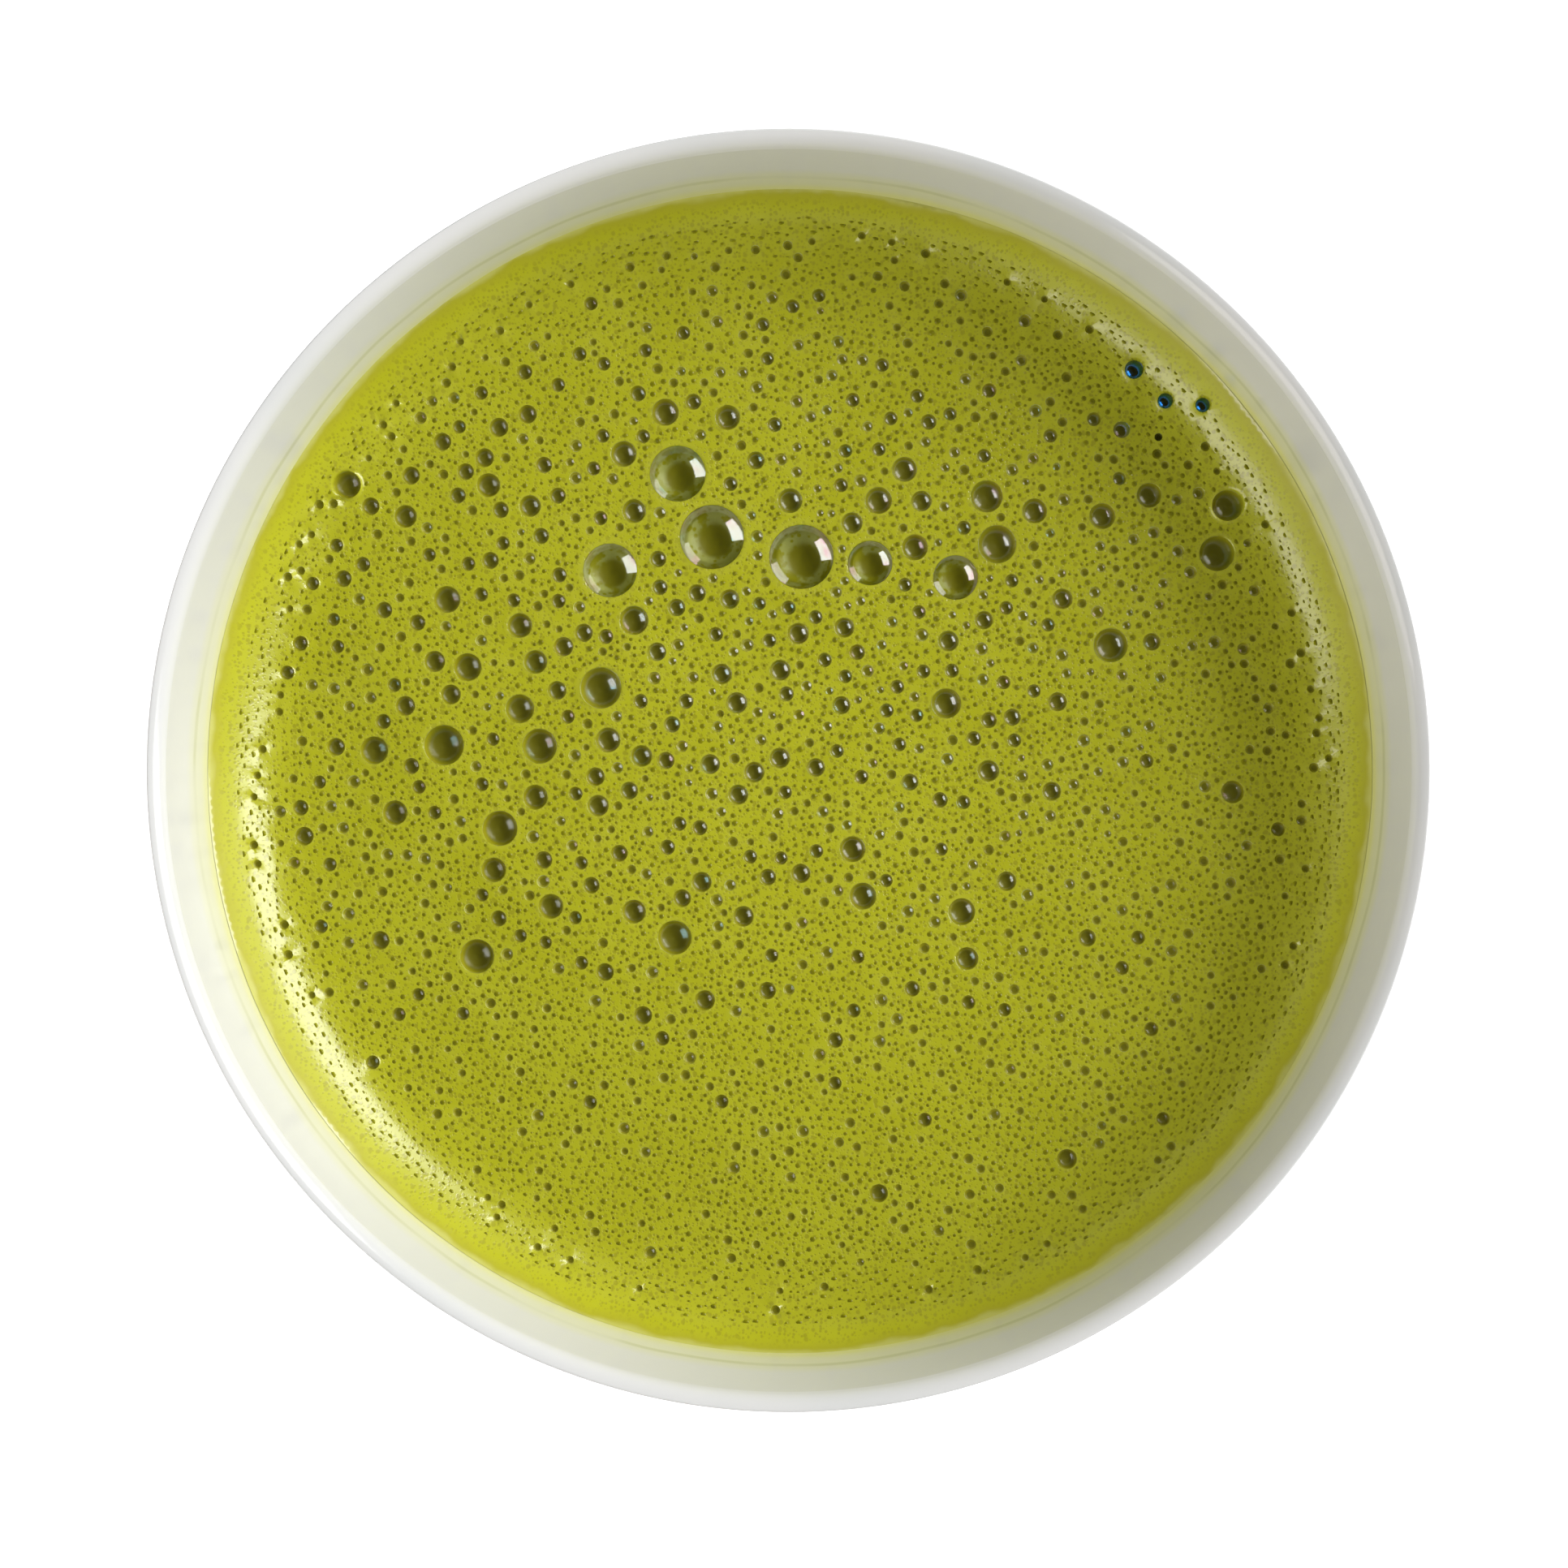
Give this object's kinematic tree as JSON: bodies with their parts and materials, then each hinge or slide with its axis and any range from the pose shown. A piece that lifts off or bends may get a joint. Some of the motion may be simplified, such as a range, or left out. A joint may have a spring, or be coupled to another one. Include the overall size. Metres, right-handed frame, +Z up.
{
  "type": "matcha bowl",
  "caption": "Round white porcelain tea bowl on a foot ring, filled with whisked green tea under a layer of froth with standing bubbles.",
  "frame": {"origin": "centre of the foot ring, on the surface the bowl stands on", "axes": "+Z up the bowl's axis towards the mouth, +X to the right and +Y away from a person looking straight down into the bowl"},
  "size_m": [0.12, 0.12, 0.07],
  "materials": {
    "white_glaze": "gloss",
    "bare_clay": "matte",
    "tea": "gloss",
    "froth": "satin",
    "bubble_film": "polished"
  },
  "bodies": {
    "root": {"bowl": "white_glaze", "tea": "tea", "froth": "froth", "bubble_film_01": "bubble_film", "bubble_film_02": "bubble_film", "bubble_film_03": "bubble_film", "bubble_film_04": "bubble_film", "bubble_film_05": "bubble_film", "bubble_film_06": "bubble_film", "bubble_film_07": "bubble_film", "bubble_film_08": "bubble_film", "bubble_film_09": "bubble_film", "bubble_film_10": "bubble_film", "bubble_film_11": "bubble_film", "bubble_film_12": "bubble_film", "bubble_film_13": "bubble_film", "bubble_film_14": "bubble_film", "bubble_film_15": "bubble_film", "bubble_film_16": "bubble_film"}
  },
  "joints": []
}
